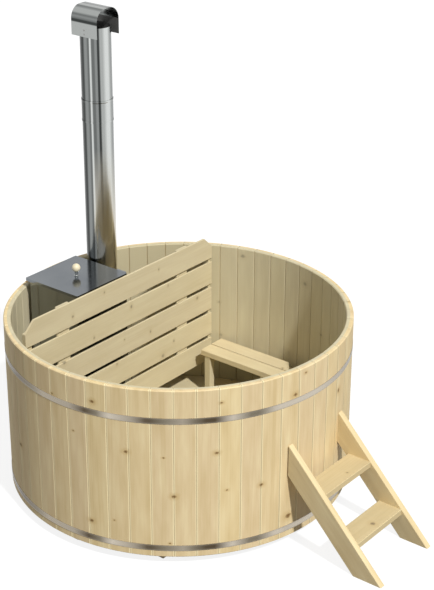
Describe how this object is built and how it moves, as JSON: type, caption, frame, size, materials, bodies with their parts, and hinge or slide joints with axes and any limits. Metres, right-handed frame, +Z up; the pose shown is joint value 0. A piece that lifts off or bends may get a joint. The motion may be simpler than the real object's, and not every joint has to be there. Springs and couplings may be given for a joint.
{
  "type": "wooden hot tub",
  "caption": "Round wooden hot tub of upright staves with a wood stove and tall chimney inside, a slatted fence, a bench and loose outside steps.",
  "frame": {"origin": "on the tub's axis at ground level, the underside of the middle base beam", "axes": "+Z up along the tub's axis, +X from the stove towards the steps, +Y along the fence towards the bench"},
  "size_m": [2.6013, 2.0035, 2.68],
  "materials": {
    "stave_wood": "planed softwood staves, clear grain, small knots",
    "floor_wood": "planed softwood boards",
    "beam_wood": "sawn softwood beams",
    "fence_wood": "planed softwood slats and battens",
    "bench_wood": "planed softwood boards, pale",
    "step_wood": "planed softwood planks",
    "knob_wood": "turned pale wood, smooth",
    "hoop_steel": "brushed band",
    "fastener_steel": "zinc plated",
    "stove_steel": "polished sheet",
    "flue_steel": "polished sheet, drawn lengthwise",
    "grate_iron": "dark, rough",
    "drain_steel": "satin",
    "plug_rubber": "matt black"
  },
  "bodies": {
    "tub": {"staves_01": "stave_wood", "staves_02": "stave_wood", "staves_03": "stave_wood", "staves_04": "stave_wood", "staves_05": "stave_wood", "staves_06": "stave_wood", "staves_07": "stave_wood", "staves_08": "stave_wood", "staves_09": "stave_wood", "staves_10": "stave_wood", "staves_11": "stave_wood", "staves_12": "stave_wood", "staves_13": "stave_wood", "floor_boards": "floor_wood", "beam_stove_side": "beam_wood", "beam_middle": "beam_wood", "beam_steps_side": "beam_wood", "upper_hoop": "hoop_steel", "lower_hoop": "hoop_steel", "hoop_lugs": "fastener_steel", "hoop_bolts": "fastener_steel", "hoop_nuts": "fastener_steel", "stove_body": "stove_steel", "stove_flue_box": "stove_steel", "stove_runners": "stove_steel", "stove_bolts": "fastener_steel", "fire_grate": "grate_iron", "flue_collar": "stove_steel", "pipe_lower": "flue_steel", "pipe_sleeve": "flue_steel", "pipe_upper": "flue_steel", "rain_cowl": "flue_steel", "cowl_rivets": "fastener_steel", "fence_slat_1": "fence_wood", "fence_slat_2": "fence_wood", "fence_slat_3": "fence_wood", "fence_slat_4": "fence_wood", "fence_slat_5": "fence_wood", "fence_batten_near": "fence_wood", "fence_batten_far": "fence_wood", "fence_wall_blocks": "fence_wood", "bench_board_front": "bench_wood", "bench_board_rear": "bench_wood", "bench_bearers": "bench_wood", "bench_legs": "bench_wood", "bench_wall_ledger": "bench_wood", "drain_fitting": "drain_steel", "drain_locknut": "fastener_steel"},
    "stove_lid": {"stove_lid": "stove_steel", "lid_stem": "fastener_steel", "lid_knob": "knob_wood", "lid_nut": "fastener_steel"},
    "drain_plug": {"drain_plug": "plug_rubber"},
    "steps": {"stringer_near": "step_wood", "stringer_far": "step_wood", "tread_lower": "step_wood", "tread_upper": "step_wood", "tread_cleats": "step_wood"}
  },
  "joints": [
    {"name": "lid_lift", "type": "slide", "parent": "tub", "child": "stove_lid", "axis": [0, 0, 1], "range_m": [0, 0.25]},
    {"name": "plug_lift", "type": "slide", "parent": "tub", "child": "drain_plug", "axis": [0, 0, 1], "range_m": [0, 0.12]},
    {"name": "steps_pull", "type": "slide", "parent": "tub", "child": "steps", "axis": [1, 0, 0], "range_m": [0, 0.5]}
  ]
}
